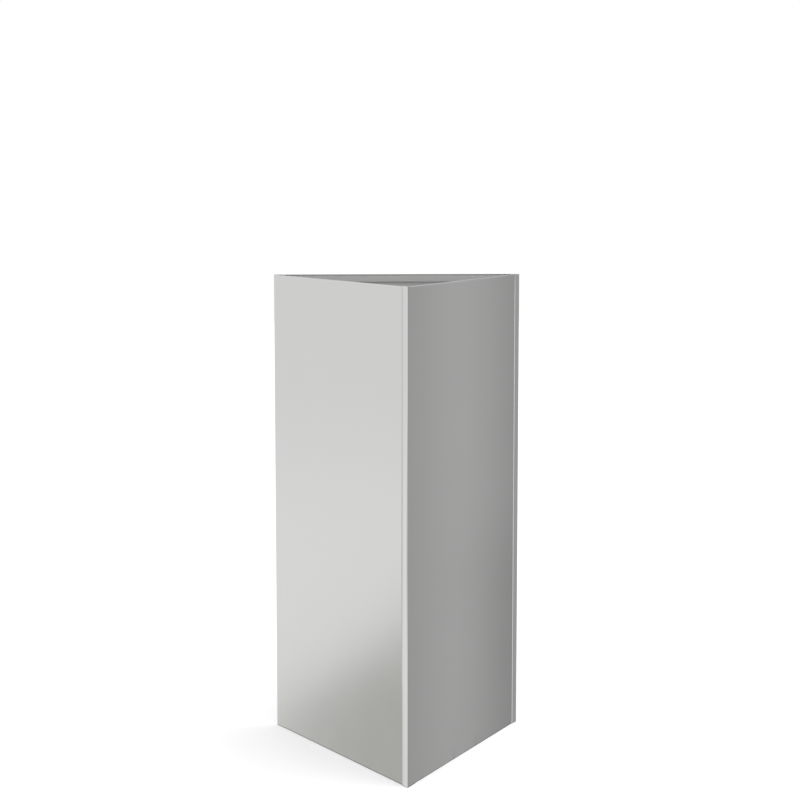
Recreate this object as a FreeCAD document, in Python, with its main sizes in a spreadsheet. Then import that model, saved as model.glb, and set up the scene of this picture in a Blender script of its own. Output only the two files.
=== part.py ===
import FreeCAD, Part
import math
import os

import Sketcher

# A tall planter with a triangular plan: three identical panels folded from sheet steel, screwed together
# through their return flanges from the inside, and a drop-in base tray that stands on their bottom flanges.
# Millimetres, +Z up. The origin is on the floor, at the middle of the box round the planter. The front corner
# points to -Y and the rear panel runs along X.

# The driving dimensions, in millimetres, with the fold's angle in degrees
DIMENSIONS = (
    ("side", 400.0, "one side of the triangle, measured between its sharp corners"),
    ("height", 750.0, "floor to rim"),
    ("sheet", 0.8, "thickness of the panels' sheet"),
    ("bend_inside", 0.8, "inside radius of the panels' bends"),
    ("strip_width", 16.0, "sharp corner to seam, along the face that a panel wraps onto"),
    ("overbend", 5.0, "degrees by which the corner fold is closed past the plan's corner"),
    ("return_depth", 16.0, "face to the edge of a return flange"),
    ("hem_inside", 0.6, "inside radius of the rim's hem"),
    ("hem_depth", 12.0, "rim to the edge of the hem"),
    ("hem_start", 4.0, "sharp corner to the start of the hem"),
    ("flange_depth", 22.0, "face to the edge of the bottom flange"),
    ("flange_gap", 3.0, "clear space between the bottom flange and what stands at a corner"),
    ("relief_width", 0.5, "width of the slot that ends a fold"),
    ("relief_height", 0.5, "how far that slot reaches past the bend"),
    ("screw_count", 4, "screws at each corner"),
    ("screw_end_inset", 60.0, "lowest screw above the floor, and highest screw below the rim"),
    ("screw_inset", 9.0, "face to the screws' axes"),
    ("thread_diameter", 4.0, "screws' thread"),
    ("thread_clearance", 0.1, "play between the thread and the nut's bore"),
    ("screw_clearance", 0.5, "play of the thread in the flange and the washer"),
    ("screw_tail", 1.0, "thread showing past the nut"),
    ("head_diameter", 7.6, "screws' button heads"),
    ("head_height", 2.2, "height of the heads"),
    ("head_round", 1.6, "rounding of the heads"),
    ("socket_width", 2.5, "hexagon socket across its flats"),
    ("socket_depth", 1.3, "depth of the socket"),
    ("washer_diameter", 9.0, "washers' outside"),
    ("washer_thickness", 0.8, "thickness of the washers"),
    ("nut_diameter", 8.0, "bodies of the press-in nuts"),
    ("nut_height", 3.2, "height of those bodies"),
    ("nut_shank", 5.4, "diameter of the nuts' shanks, which sit in the flange"),
    ("nut_play", 0.1, "play between the shank and its hole, and between its end and the seam"),
    ("tray_sheet", 1.0, "thickness of the base tray's sheet"),
    ("tray_bend_inside", 1.0, "inside radius of the tray's bends"),
    ("tray_height", 20.0, "height of the tray, skirt's edge to deck"),
    ("tray_clearance", 5.0, "room between the tray and all that it passes when it is lifted out"),
    ("lift_hole", 26.0, "hole in the tray's middle, for drainage and for a finger"),
    ("drain_hole", 10.0, "tray's small drain holes"),
    ("drain_ring", 48.0, "radius of the ring of drain holes round the middle"),
    ("drain_count", 6, "drain holes in that ring"),
    ("drain_corner_inset", 28.0, "cut corner of the tray to the drain hole behind it"),
)

# The plan is an equilateral triangle, so its corners and half corners have fixed angles in degrees
SIDES = 3
CORNER = 180 // SIDES
HALF_CORNER = CORNER // 2

# Lengths that follow from the driving dimensions
BEND = "(dims.bend_inside + dims.sheet)"
HEM_BEND = "(dims.hem_inside + dims.sheet)"
TRAY_BEND = "(dims.tray_bend_inside + dims.tray_sheet)"
DEPTH = f"(dims.side * cos({HALF_CORNER} deg))"
SEAM_FROM_START = "(dims.side - dims.strip_width)"
FOLD_END = f"({SEAM_FROM_START} - {BEND} - 2 * dims.relief_width)"
RETURN_REACH = f"(dims.strip_width + dims.sheet) * cos({CORNER} deg) + dims.return_depth * sin({CORNER} deg)"
FLANGE_START = f"({RETURN_REACH} + dims.flange_gap)"
FLANGE_MITRE = (
    f"((dims.flange_depth * (1 + sin({HALF_CORNER} deg)) + dims.flange_gap) / cos({HALF_CORNER} deg))"
)
RELIEF_BOTTOM = f"({BEND} + dims.relief_height)"
RELIEF_TOP = f"({HEM_BEND} + dims.relief_height)"
SCREW_SPAN = "(dims.height - 2 * dims.screw_end_inset)"
HEAD_SEAT = "(dims.sheet + dims.washer_thickness)"
SCREW_TAIL = "(dims.sheet + dims.nut_height + dims.screw_tail)"
TRAY_INRADIUS = f"({DEPTH} / 3 - 2 * {HEM_BEND} - dims.tray_clearance)"
DECK_INRADIUS = f"({TRAY_INRADIUS} - {TRAY_BEND})"
CORNER_ROOM = (
    f"(({HEAD_SEAT} + dims.strip_width + dims.head_height) * cos({HALF_CORNER} deg)"
    f" + dims.return_depth * sin({HALF_CORNER} deg) + dims.tray_clearance)"
)
TRAY_CORNER = f"(2 * {DEPTH} / 3 - {CORNER_ROOM})"
DECK_CUT = f"((2 * {DECK_INRADIUS} - {TRAY_CORNER}) / cos({HALF_CORNER} deg))"
SKIRT_LENGTH = f"(2 * {DECK_INRADIUS} / tan({HALF_CORNER} deg) - 2 * {DECK_CUT} - 2 * dims.relief_width)"

# Sketch numbers: a line's start, its end and an arc's centre, the horizontal and upright axes, and the origin
START, END, CENTRE = range(1, 4)
H_AXIS, V_AXIS = range(-1, -3, -1)
ORIGIN = (H_AXIS, START)

UP = FreeCAD.Vector(0, 0, 1)

doc = FreeCAD.newDocument("triangular_planter")
dims = doc.addObject("Spreadsheet::Sheet", "dims")
for row, (alias, number, meaning) in enumerate(DIMENSIONS, start=1):
    dims.set(f"A{row}", meaning)
    dims.set(f"B{row}", str(number))
    dims.setAlias(f"B{row}", alias)
doc.recompute()


def size(expression):
    """Works out an expression on the sheet's cells, as a plain number."""
    return float(dims.evalExpression(expression))


def origin_part(body, role):
    """Finds one of a body's own origin planes or axes."""
    return next(feature for feature in body.Origin.OriginFeatures if feature.Role == role)


def new_body(label):
    """Starts a sub-part."""
    body = doc.addObject("PartDesign::Body", label)
    body.Label = label
    return body


def new_feature(body, kind, name, **bound):
    """Adds a feature to a body, with its sizes bound to expressions."""
    feature = body.newObject(f"PartDesign::{kind}", name)
    for prop, expression in bound.items():
        feature.setExpression(prop, expression)
    return feature


def attach(feature, body, role, offset=None):
    """Lays a sketch or a primitive on an origin plane, moved along the plane's normal by an expression."""
    feature.AttachmentSupport = (origin_part(body, role), [""])
    feature.MapMode = "FlatFace"
    if offset:
        feature.setExpression("AttachmentOffset.Base.z", offset)
    return feature


def new_sketch(body, name, role, offset=None):
    """Adds a sketch to a body, on one of its origin planes."""
    return attach(body.newObject("Sketcher::SketchObject", name), body, role, offset)


def extrude(body, kind, sketch, length, **flags):
    """Pads or pockets a sketch."""
    feature = new_feature(body, kind, f"{sketch.Name}_{kind.lower()}")
    feature.Profile = sketch
    feature.setExpression("Length", length)
    for prop, value in flags.items():
        setattr(feature, prop, value)
    doc.recompute()
    return feature


def drive(sketch, kind, *places, by):
    """Adds a dimension to a sketch and binds it to an expression."""
    value = size(by)
    if kind == "Angle":
        value = math.radians(value)
    index = sketch.addConstraint(Sketcher.Constraint(kind, *places, value))
    name = f"size_{index}"
    sketch.renameConstraint(index, name)
    sketch.setExpression(f"Constraints.{name}", by)


def hold(sketch, kind, *places):
    """Adds a relation without a size to a sketch."""
    sketch.addConstraint(Sketcher.Constraint(kind, *places))


def point(x, y):
    """A point or a direction in a sketch."""
    return FreeCAD.Vector(x, y, 0)


def heading(degrees):
    """The direction at an angle from a sketch's horizontal axis."""
    return point(math.cos(math.radians(degrees)), math.sin(math.radians(degrees)))


def left_of(direction):
    """The direction a quarter turn to the left."""
    return point(-direction.y, direction.x)


def draw_fold_side(sketch, tips, centres, turns, radius, depth):
    """Draws one side of a folded sheet, at a depth under its outer side, and returns its lines' numbers."""
    marks = [tips[0] + left_of(heading(turns[0])) * depth]
    for centre, before, after in zip(centres, turns, turns[1:]):
        marks.append(centre - left_of(heading(before)) * (radius - depth))
        marks.append(centre - left_of(heading(after)) * (radius - depth))
    marks.append(tips[1] + left_of(heading(turns[-1])) * depth)
    numbers = []
    for run, (start, end) in enumerate(zip(marks[0::2], marks[1::2])):
        numbers.append(sketch.addGeometry(Part.LineSegment(start, end), False))
        if run < len(centres):
            circle = Part.Circle(centres[run], UP, radius - depth)
            angles = [math.radians(turn - 90) for turn in turns[run:run + 2]]
            numbers.append(sketch.addGeometry(Part.ArcOfCircle(circle, *angles), False))
    for first, second in zip(numbers, numbers[1:]):
        hold(sketch, "Tangent", first, END, second, START)
    return numbers


def fold_outline(sketch, tips, centres, turns, sheet, inside):
    """Draws the closed section of a folded sheet whose bends all turn to the left.

    tips are the two ends of its outer side, centres the middles of its bends and turns the headings of its
    straight runs. Its thickness and its bends' inside radius are bound to expressions. Returns the numbers of
    its straight runs and of its bends, on the outer side.
    """
    radius = f"{inside} + {sheet}"
    outer = draw_fold_side(sketch, tips, centres, turns, size(radius), 0.0)
    inner = draw_fold_side(sketch, tips, centres, turns, size(radius), size(sheet))
    for out_bend, in_bend in zip(outer[1::2], inner[1::2]):
        hold(sketch, "Coincident", out_bend, CENTRE, in_bend, CENTRE)
        drive(sketch, "Radius", out_bend, by=radius)
        drive(sketch, "Radius", in_bend, by=inside)
    for end, tip, turn, number in ((START, tips[0], turns[0], 0), (END, tips[1], turns[-1], -1)):
        cap = sketch.addGeometry(Part.LineSegment(tip, tip + left_of(heading(turn)) * size(sheet)), False)
        hold(sketch, "Coincident", cap, START, outer[number], end)
        hold(sketch, "Coincident", cap, END, inner[number], end)
        hold(sketch, "Perpendicular", cap, outer[number])
        hold(sketch, "Parallel", inner[number], outer[number])
    return outer[0::2], outer[1::2]


def draw_polygon(sketch, corners):
    """Draws a closed outline with straight sides through the corners, and returns the sides' numbers."""
    ends = corners[1:] + corners[:1]
    sides = [sketch.addGeometry(Part.LineSegment(a, b), False) for a, b in zip(corners, ends)]
    for side, following in zip(sides, sides[1:] + sides[:1]):
        hold(sketch, "Coincident", side, END, following, START)
    return sides


def draw_rectangle(sketch, left, right, low, high):
    """Draws an upright rectangle whose four edges lie at expressions, from the sketch's origin."""
    corners = [(left, low), (right, low), (right, high), (left, high)]
    sides = draw_polygon(sketch, [point(size(x), size(y)) for x, y in corners])
    for side in sides[0::2]:
        hold(sketch, "Horizontal", side)
    for side in sides[1::2]:
        hold(sketch, "Vertical", side)
    for kind, side, edge in (("DistanceX", 3, left), ("DistanceX", 1, right), ("DistanceY", 0, low),
                             ("DistanceY", 2, high)):
        if size(edge) == 0:
            hold(sketch, "PointOnObject", sides[side], START, H_AXIS if kind == "DistanceY" else V_AXIS)
        else:
            drive(sketch, kind, *ORIGIN, sides[side], START, by=edge)


def draw_circle(sketch, diameter, x=None, y=None):
    """Draws a circle at expressions from the sketch's origin, or on the origin itself."""
    middle = point(size(x) if x else 0, size(y) if y else 0)
    circle = sketch.addGeometry(Part.Circle(middle, UP, size(diameter) / 2), False)
    for kind, axis, place in (("DistanceX", V_AXIS, x), ("DistanceY", H_AXIS, y)):
        if place:
            drive(sketch, kind, *ORIGIN, circle, CENTRE, by=place)
        else:
            hold(sketch, "PointOnObject", circle, CENTRE, axis)
    drive(sketch, "Diameter", circle, by=diameter)


def repeat_upwards(body, name, originals):
    """Repeats holes, or a whole fastener where no features are named, at the height of each screw."""
    pattern = new_feature(body, "LinearPattern", name, Length=SCREW_SPAN, Occurrences="dims.screw_count")
    if originals:
        pattern.Originals = originals
    else:
        pattern.TransformMode = "Whole shape"
    pattern.Direction = (origin_part(body, "Z_Axis"), [""])
    body.Tip = pattern
    doc.recompute()


# Each corner of the plan, with the heading of the panel that wraps round it and starts there
CORNERS = {
    "front": (CORNER, "0", f"-{DEPTH} / 2"),
    "right": (CORNER * 3, "dims.side / 2", f"{DEPTH} / 2"),
    "left": (CORNER * 5, "-dims.side / 2", f"{DEPTH} / 2"),
}
PANELS = {"panel_right": "front", "panel_rear": "right", "panel_left": "left"}


def place_at_corner(body, corner, turn=0, along="0", inward="0", up="0"):
    """Stands a body at a corner of the plan.

    It faces along the panel that starts there, turned by an angle, and lies at the given lengths along the
    neighbouring panel, in from that panel's face and up from the floor.
    """
    panel_heading, corner_x, corner_y = CORNERS[corner]
    neighbour = panel_heading + CORNER
    into = neighbour - 90
    body.Placement = FreeCAD.Placement(FreeCAD.Vector(), FreeCAD.Rotation(UP, panel_heading + turn))
    for axis, start, trig in (("x", corner_x, "cos"), ("y", corner_y, "sin")):
        shift = f"{along} * {trig}({neighbour} deg) + {inward} * {trig}({into} deg)"
        body.setExpression(f"Placement.Base.{axis}", f"{start} + {shift}")
    body.setExpression("Placement.Base.z", up)


def draw_panel_plan(sketch):
    """Draws a panel from above: return flange, wrapped strip, corner fold, face and second return flange."""
    strip_heading = CORNER - size("dims.overbend")
    strip = size("dims.strip_width")
    bend = size(BEND)
    seam = heading(CORNER) * strip
    into = heading(CORNER - 90)
    proud = strip * math.sin(math.radians(CORNER - strip_heading)) / math.sin(math.radians(strip_heading))
    turns = [CORNER + 90, strip_heading + 180, 360, 450]
    # The middle of each bend lies at the bend's radius from the two runs beside it
    seam_slide = math.tan(math.radians((turns[1] - turns[0]) / 2)) * bend
    seam_centre = seam + heading(strip_heading + 180) * seam_slide + left_of(heading(strip_heading + 180)) * bend
    fold_centre = point(bend / math.tan(math.radians(strip_heading / 2)) - proud, bend)
    end_centre = point(size(SEAM_FROM_START) - bend, bend)
    tips = [seam + into * size("dims.return_depth"), point(size(SEAM_FROM_START), size("dims.return_depth"))]
    centres = [seam_centre, fold_centre, end_centre]
    runs, _ = fold_outline(sketch, tips, centres, turns, "dims.sheet", "dims.bend_inside")
    wrap_return, strip_run, face, end_return = runs
    drive(sketch, "Angle", wrap_return, by=f"{CORNER + 90}")
    drive(sketch, "Distance", *ORIGIN, wrap_return, by="dims.strip_width")
    drive(sketch, "DistanceX", *ORIGIN, wrap_return, START,
          by=f"dims.strip_width * cos({CORNER} deg) + dims.return_depth * sin({CORNER} deg)")
    drive(sketch, "Angle", face, START, strip_run, END, by=f"{CORNER} - dims.overbend")
    drive(sketch, "Distance", *ORIGIN, strip_run, by="dims.strip_width * sin(dims.overbend * 1 deg)")
    hold(sketch, "PointOnObject", face, START, H_AXIS)
    hold(sketch, "PointOnObject", face, END, H_AXIS)
    hold(sketch, "Vertical", end_return)
    drive(sketch, "DistanceX", *ORIGIN, end_return, END, by=SEAM_FROM_START)
    drive(sketch, "DistanceY", *ORIGIN, end_return, END, by="dims.return_depth")


def draw_bottom_fold(sketch):
    """Draws the bottom fold from the side: down the face, round the bend and inwards along the floor."""
    bend = size(BEND)
    tips = [point(0, size(RELIEF_BOTTOM)), point(size("dims.flange_depth"), 0)]
    runs, _ = fold_outline(sketch, tips, [point(bend, bend)], [-90, 0], "dims.sheet", "dims.bend_inside")
    face, flange = runs
    for end in (START, END):
        hold(sketch, "PointOnObject", face, end, V_AXIS)
        hold(sketch, "PointOnObject", flange, end, H_AXIS)
    drive(sketch, "DistanceY", *ORIGIN, face, START, by=RELIEF_BOTTOM)
    drive(sketch, "DistanceX", *ORIGIN, flange, END, by="dims.flange_depth")


def draw_rim_hem(sketch):
    """Draws the hem from the side: up its inner leaf, over the rim and down to the face."""
    bend = size(HEM_BEND)
    rim = size("dims.height")
    tips = [point(2 * bend, rim - size("dims.hem_depth")), point(0, rim - size(RELIEF_TOP))]
    runs, bends = fold_outline(sketch, tips, [point(bend, rim - bend)], [90, 270], "dims.sheet",
                               "dims.hem_inside")
    leaf, face = runs
    hold(sketch, "Vertical", leaf)
    for end in (START, END):
        hold(sketch, "PointOnObject", face, end, V_AXIS)
    drive(sketch, "DistanceY", *ORIGIN, bends[0], CENTRE, by=f"dims.height - {HEM_BEND}")
    drive(sketch, "DistanceY", *ORIGIN, leaf, START, by="dims.height - dims.hem_depth")
    drive(sketch, "DistanceY", *ORIGIN, face, END, by=f"dims.height - {RELIEF_TOP}")


def draw_mitre(sketch, outer, inner):
    """Draws the corner that is cut from one end of the bottom flange."""
    corners = [(outer, BEND), (inner, "dims.flange_depth"), (outer, "dims.flange_depth")]
    sides = draw_polygon(sketch, [point(size(x), size(y)) for x, y in corners])
    for side, (x, y) in zip(sides, corners):
        drive(sketch, "DistanceX", *ORIGIN, side, START, by=x)
        drive(sketch, "DistanceY", *ORIGIN, side, START, by=y)


def make_panel(label, corner):
    """Folds one panel: its plan runs the full height, and the rim and the floor have folds of their own."""
    body = new_body(label)
    place_at_corner(body, corner)
    plan = new_sketch(body, f"{label}_plan", "XY_Plane")
    draw_panel_plan(plan)
    extrude(body, "Pad", plan, "dims.height")

    # The folds take the place of the face's edges, between two relief slots
    edges = new_sketch(body, f"{label}_edges", "XZ_Plane")
    draw_rectangle(edges, f"{FLANGE_START} - dims.relief_width", f"{FOLD_END} + dims.relief_width", "0",
                   RELIEF_BOTTOM)
    draw_rectangle(edges, "dims.hem_start - dims.relief_width", f"{FOLD_END} + dims.relief_width",
                   f"dims.height - {RELIEF_TOP}", "dims.height")
    extrude(body, "Pocket", edges, "2 * dims.sheet")
    bottom = new_sketch(body, f"{label}_bottom", "YZ_Plane", FLANGE_START)
    draw_bottom_fold(bottom)
    extrude(body, "Pad", bottom, f"{FOLD_END} - {FLANGE_START}")
    rim = new_sketch(body, f"{label}_rim", "YZ_Plane", "dims.hem_start")
    draw_rim_hem(rim)
    extrude(body, "Pad", rim, f"{FOLD_END} - dims.hem_start")
    mitres = new_sketch(body, f"{label}_mitres", "XY_Plane")
    draw_mitre(mitres, FLANGE_START, FLANGE_MITRE)
    draw_mitre(mitres, FOLD_END, f"dims.side - {FLANGE_MITRE}")
    extrude(body, "Pocket", mitres, "dims.sheet", Reversed=True)

    # Screws pass through the return flange at the panel's end, and the one at its start holds the nuts
    through = new_sketch(body, f"{label}_screw_hole", "YZ_Plane", SEAM_FROM_START)
    draw_circle(through, "dims.thread_diameter + dims.screw_clearance", "dims.screw_inset", "dims.screw_end_inset")
    repeat_upwards(body, f"{label}_screw_holes", [extrude(body, "Pocket", through, "dims.sheet")])
    seat = new_sketch(body, f"{label}_nut_hole", "YZ_Plane")
    seat.AttachmentOffset = FreeCAD.Placement(
        FreeCAD.Vector(), FreeCAD.Rotation(FreeCAD.Vector(0, 1, 0), CORNER))
    seat.setExpression("AttachmentOffset.Base.z", f"dims.strip_width * cos({CORNER} deg)")
    seat.setExpression("AttachmentOffset.Base.x", f"dims.strip_width * sin({CORNER} deg)")
    draw_circle(seat, "dims.nut_shank + 2 * dims.nut_play", "-dims.screw_inset", "dims.screw_end_inset")
    repeat_upwards(body, f"{label}_nut_holes", [extrude(body, "Pocket", seat, "dims.sheet")])
    return body


def new_fastener(kind, corner):
    """Starts a row of fasteners at a corner: X along the screws' axis from the seam, Z up."""
    body = new_body(f"corner_{kind}_{corner}")
    place_at_corner(body, corner, CORNER, "dims.strip_width", "dims.screw_inset", "dims.screw_end_inset")
    return body


def make_screws(corner):
    """Makes the button-head screws of one corner, with hexagon sockets."""
    body = new_fastener("screws", corner)
    shank = new_feature(body, "AdditiveCylinder", f"{body.Name}_shank", Radius="dims.thread_diameter / 2",
                        Height=f"{SCREW_TAIL} + {HEAD_SEAT}")
    attach(shank, body, "YZ_Plane", f"-{SCREW_TAIL}")
    head = new_feature(body, "AdditiveCylinder", f"{body.Name}_head", Radius="dims.head_diameter / 2",
                       Height="dims.head_height")
    attach(head, body, "YZ_Plane", HEAD_SEAT)
    doc.recompute()
    crown, _ = max(enumerate(head.Shape.Edges, start=1), key=lambda numbered: numbered[1].CenterOfMass.x)
    crown_round = new_feature(body, "Fillet", f"{body.Name}_round", Radius="dims.head_round")
    crown_round.Base = (head, [f"Edge{crown}"])
    doc.recompute()
    socket = new_feature(body, "SubtractivePrism", f"{body.Name}_socket", Height="dims.socket_depth",
                         Circumradius=f"dims.socket_width / 2 / cos({HALF_CORNER} deg)")
    socket.Polygon = 6
    attach(socket, body, "YZ_Plane", f"{HEAD_SEAT} + dims.head_height - dims.socket_depth")
    doc.recompute()
    repeat_upwards(body, f"{body.Name}_row", [])
    return body


def make_washers(corner):
    """Makes the flat washers under the heads of one corner's screws."""
    body = new_fastener("washers", corner)
    ring = new_sketch(body, f"{body.Name}_ring", "YZ_Plane", "dims.sheet")
    draw_circle(ring, "dims.washer_diameter")
    draw_circle(ring, "dims.thread_diameter + dims.screw_clearance")
    extrude(body, "Pad", ring, "dims.washer_thickness")
    repeat_upwards(body, f"{body.Name}_row", [])
    return body


def make_nuts(corner):
    """Makes the press-in nuts of one corner: a round body behind the flange and a shank in its hole."""
    body = new_fastener("nuts", corner)
    bore = "dims.thread_diameter + 2 * dims.thread_clearance"
    collar = new_sketch(body, f"{body.Name}_body", "YZ_Plane", "-dims.sheet - dims.nut_height")
    draw_circle(collar, "dims.nut_diameter")
    draw_circle(collar, bore)
    extrude(body, "Pad", collar, "dims.nut_height")
    shank = new_sketch(body, f"{body.Name}_shank", "YZ_Plane", "-dims.sheet")
    draw_circle(shank, "dims.nut_shank")
    draw_circle(shank, bore)
    extrude(body, "Pad", shank, "dims.sheet - dims.nut_play")
    repeat_upwards(body, f"{body.Name}_row", [])
    return body


def draw_skirt(sketch):
    """Draws a tray skirt from the side: up its outside, round the bend and in along the deck."""
    bend = size(TRAY_BEND)
    outside = size(TRAY_INRADIUS)
    deck = size("dims.tray_height")
    tips = [point(outside, 0), point(size(DECK_INRADIUS) - bend, deck)]
    runs, _ = fold_outline(sketch, tips, [point(outside - bend, deck - bend)], [90, 180], "dims.tray_sheet",
                           "dims.tray_bend_inside")
    skirt, top = runs
    hold(sketch, "Vertical", skirt)
    hold(sketch, "PointOnObject", skirt, START, H_AXIS)
    drive(sketch, "DistanceX", *ORIGIN, skirt, START, by=TRAY_INRADIUS)
    hold(sketch, "Horizontal", top)
    drive(sketch, "DistanceY", *ORIGIN, top, END, by="dims.tray_height")
    drive(sketch, "DistanceX", *ORIGIN, top, END, by=f"{DECK_INRADIUS} - {TRAY_BEND}")


def repeat_round(body, name, originals, count):
    """Repeats features round the tray's upright axis."""
    pattern = new_feature(body, "PolarPattern", name, Occurrences=count)
    pattern.Originals = originals
    pattern.Axis = (origin_part(body, "Z_Axis"), [""])
    pattern.Angle = 360
    body.Tip = pattern
    doc.recompute()


def make_tray():
    """Folds the base tray: a three-cornered deck with cut corners, a skirt along each side and drain holes."""
    body = new_body("base_tray")
    body.setExpression("Placement.Base.y", f"{DEPTH} / 6")
    body.setExpression("Placement.Base.z", "dims.sheet")
    deck = new_sketch(body, "tray_deck", "XY_Plane", "dims.tray_height - dims.tray_sheet")
    radius = size(DECK_INRADIUS)
    half = radius / math.tan(math.radians(HALF_CORNER))
    rear, left = draw_polygon(deck, [point(half, radius), point(-half, radius), point(0, -2 * radius)])[:2]
    hold(deck, "Symmetric", rear, START, rear, END, V_AXIS)
    hold(deck, "PointOnObject", left, END, V_AXIS)
    drive(deck, "DistanceY", *ORIGIN, rear, START, by=DECK_INRADIUS)
    drive(deck, "DistanceX", *ORIGIN, rear, START, by=f"{DECK_INRADIUS} / tan({HALF_CORNER} deg)")
    drive(deck, "DistanceY", *ORIGIN, left, END, by=f"-2 * {DECK_INRADIUS}")
    plate = extrude(body, "Pad", deck, "dims.tray_sheet")
    uprights = [f"Edge{number}" for number, edge in enumerate(plate.Shape.Edges, start=1)
                if edge.BoundBox.ZLength > size("dims.tray_sheet") / 2]
    cuts = new_feature(body, "Chamfer", "tray_corners", Size=DECK_CUT)
    cuts.Base = (plate, uprights)
    doc.recompute()
    skirt = new_sketch(body, "tray_skirt", "YZ_Plane")
    draw_skirt(skirt)
    repeat_round(body, "tray_skirts", [extrude(body, "Pad", skirt, SKIRT_LENGTH, Midplane=True)], f"{SIDES}")
    top = "dims.tray_height"
    lift = new_sketch(body, "tray_lift_hole", "XY_Plane", top)
    draw_circle(lift, "dims.lift_hole")
    extrude(body, "Pocket", lift, "dims.tray_sheet")
    ring = new_sketch(body, "tray_ring_hole", "XY_Plane", top)
    draw_circle(ring, "dims.drain_hole", None, "dims.drain_ring")
    repeat_round(body, "tray_ring", [extrude(body, "Pocket", ring, "dims.tray_sheet")], "dims.drain_count")
    corner = new_sketch(body, "tray_corner_hole", "XY_Plane", top)
    draw_circle(corner, "dims.drain_hole", None, f"dims.drain_corner_inset - {TRAY_CORNER}")
    repeat_round(body, "tray_corner_holes", [extrude(body, "Pocket", corner, "dims.tray_sheet")], f"{SIDES}")
    return body


sub_parts = [make_panel(label, corner) for label, corner in PANELS.items()]
sub_parts.append(make_tray())
for corner in CORNERS:
    sub_parts.append(make_screws(corner))
    sub_parts.append(make_washers(corner))
    sub_parts.append(make_nuts(corner))
doc.recompute()

for item in doc.Objects:
    if "Invalid" in item.State or "Error" in item.State:
        raise RuntimeError(f"{item.Label} didn't build: {item.State}")
for body in sub_parts:
    if body.Shape.isNull() or not body.Shape.isValid():
        raise RuntimeError(f"{body.Label} has no valid shape")

os.makedirs("parts", exist_ok=True)
for body in sub_parts:
    body.Shape.exportStep(f"parts/{body.Label}.step")
    box = body.Shape.BoundBox
    corners = f"({box.XMin:.2f}, {box.YMin:.2f}, {box.ZMin:.2f}) to ({box.XMax:.2f}, {box.YMax:.2f}, {box.ZMax:.2f})"
    print(f"{body.Label}: {len(body.Shape.Solids)} solids, {body.Shape.Volume:.1f} mm3, {corners}")
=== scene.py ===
"""A tall floor planter with a triangular plan, folded from satin stainless sheet, in a plain white studio.

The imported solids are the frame. The panels are folded again here with smooth bends, the fasteners get their
threads and sockets, and every surface gets its finish. Metres, +Z up, and the front corner points to -Y.
"""
import logging
import math
from dataclasses import dataclass, field
from enum import Enum
from functools import reduce
from typing import Callable, ClassVar, Hashable, Mapping, NamedTuple, Optional, Sequence, Union

import bmesh
import bpy
from mathutils import Matrix, Vector


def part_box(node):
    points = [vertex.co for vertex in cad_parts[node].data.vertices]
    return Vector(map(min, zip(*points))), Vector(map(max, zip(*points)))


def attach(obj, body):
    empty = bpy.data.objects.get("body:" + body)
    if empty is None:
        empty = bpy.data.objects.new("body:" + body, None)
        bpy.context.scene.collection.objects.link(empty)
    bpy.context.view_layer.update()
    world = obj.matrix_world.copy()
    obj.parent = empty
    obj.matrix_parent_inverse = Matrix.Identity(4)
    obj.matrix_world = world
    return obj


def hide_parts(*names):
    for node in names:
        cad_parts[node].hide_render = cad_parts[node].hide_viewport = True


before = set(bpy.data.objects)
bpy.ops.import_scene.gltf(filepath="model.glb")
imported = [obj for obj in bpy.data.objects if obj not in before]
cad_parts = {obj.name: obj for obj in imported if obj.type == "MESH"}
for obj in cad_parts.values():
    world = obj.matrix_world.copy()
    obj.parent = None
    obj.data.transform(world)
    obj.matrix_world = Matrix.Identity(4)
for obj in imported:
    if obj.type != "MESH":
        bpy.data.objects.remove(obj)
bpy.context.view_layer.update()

MM = 0.001

log = logging.getLogger("planter")

Colour = tuple[float, float, float, float]
Pitch = tuple[float, float, float]
Span = tuple[float, float]
Term = Union["Field", float, int, Sequence[float]]


# Shader expressions


class Field:
    """A shader socket that takes part in Python arithmetic: each operator adds one Math node."""

    def __init__(self, graph: "ShaderGraph", socket: bpy.types.NodeSocket) -> None:
        """Wraps an output socket of a graph."""
        self.graph = graph
        self.socket = socket

    def maths(self, operation: str, *terms: Term) -> "Field":
        """Adds a Math node over the terms."""
        return self.graph.node("ShaderNodeMath", {"operation": operation}, dict(enumerate(terms)))

    def __add__(self, other: Term) -> "Field":
        """The sum of two values."""
        return self.maths("ADD", self, other)

    __radd__ = __add__

    def __sub__(self, other: Term) -> "Field":
        """This value less another."""
        return self.maths("SUBTRACT", self, other)

    def __rsub__(self, other: Term) -> "Field":
        """Another value less this one."""
        return self.maths("SUBTRACT", other, self)

    def __mul__(self, other: Term) -> "Field":
        """The product of two values."""
        return self.maths("MULTIPLY", self, other)

    __rmul__ = __mul__

    def __truediv__(self, other: Term) -> "Field":
        """This value divided by another."""
        return self.maths("DIVIDE", self, other)

    def __rtruediv__(self, other: Term) -> "Field":
        """Another value divided by this one."""
        return self.maths("DIVIDE", other, self)

    def __abs__(self) -> "Field":
        """The value without its sign."""
        return self.maths("ABSOLUTE", self)

    def least(self, other: Term) -> "Field":
        """The smaller of two values."""
        return self.maths("MINIMUM", self, other)

    def most(self, other: Term) -> "Field":
        """The larger of two values."""
        return self.maths("MAXIMUM", self, other)

    def rise(self, low: float, high: float) -> "Field":
        """A smooth step from 0 at low to 1 at high."""
        inputs = {"Value": self, "From Min": low, "From Max": high}
        return self.graph.node("ShaderNodeMapRange", {"interpolation_type": "SMOOTHSTEP"}, inputs)

    def fall(self, low: float, high: float) -> "Field":
        """A smooth step from 1 at low to 0 at high."""
        return 1.0 - self.rise(low, high)


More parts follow.
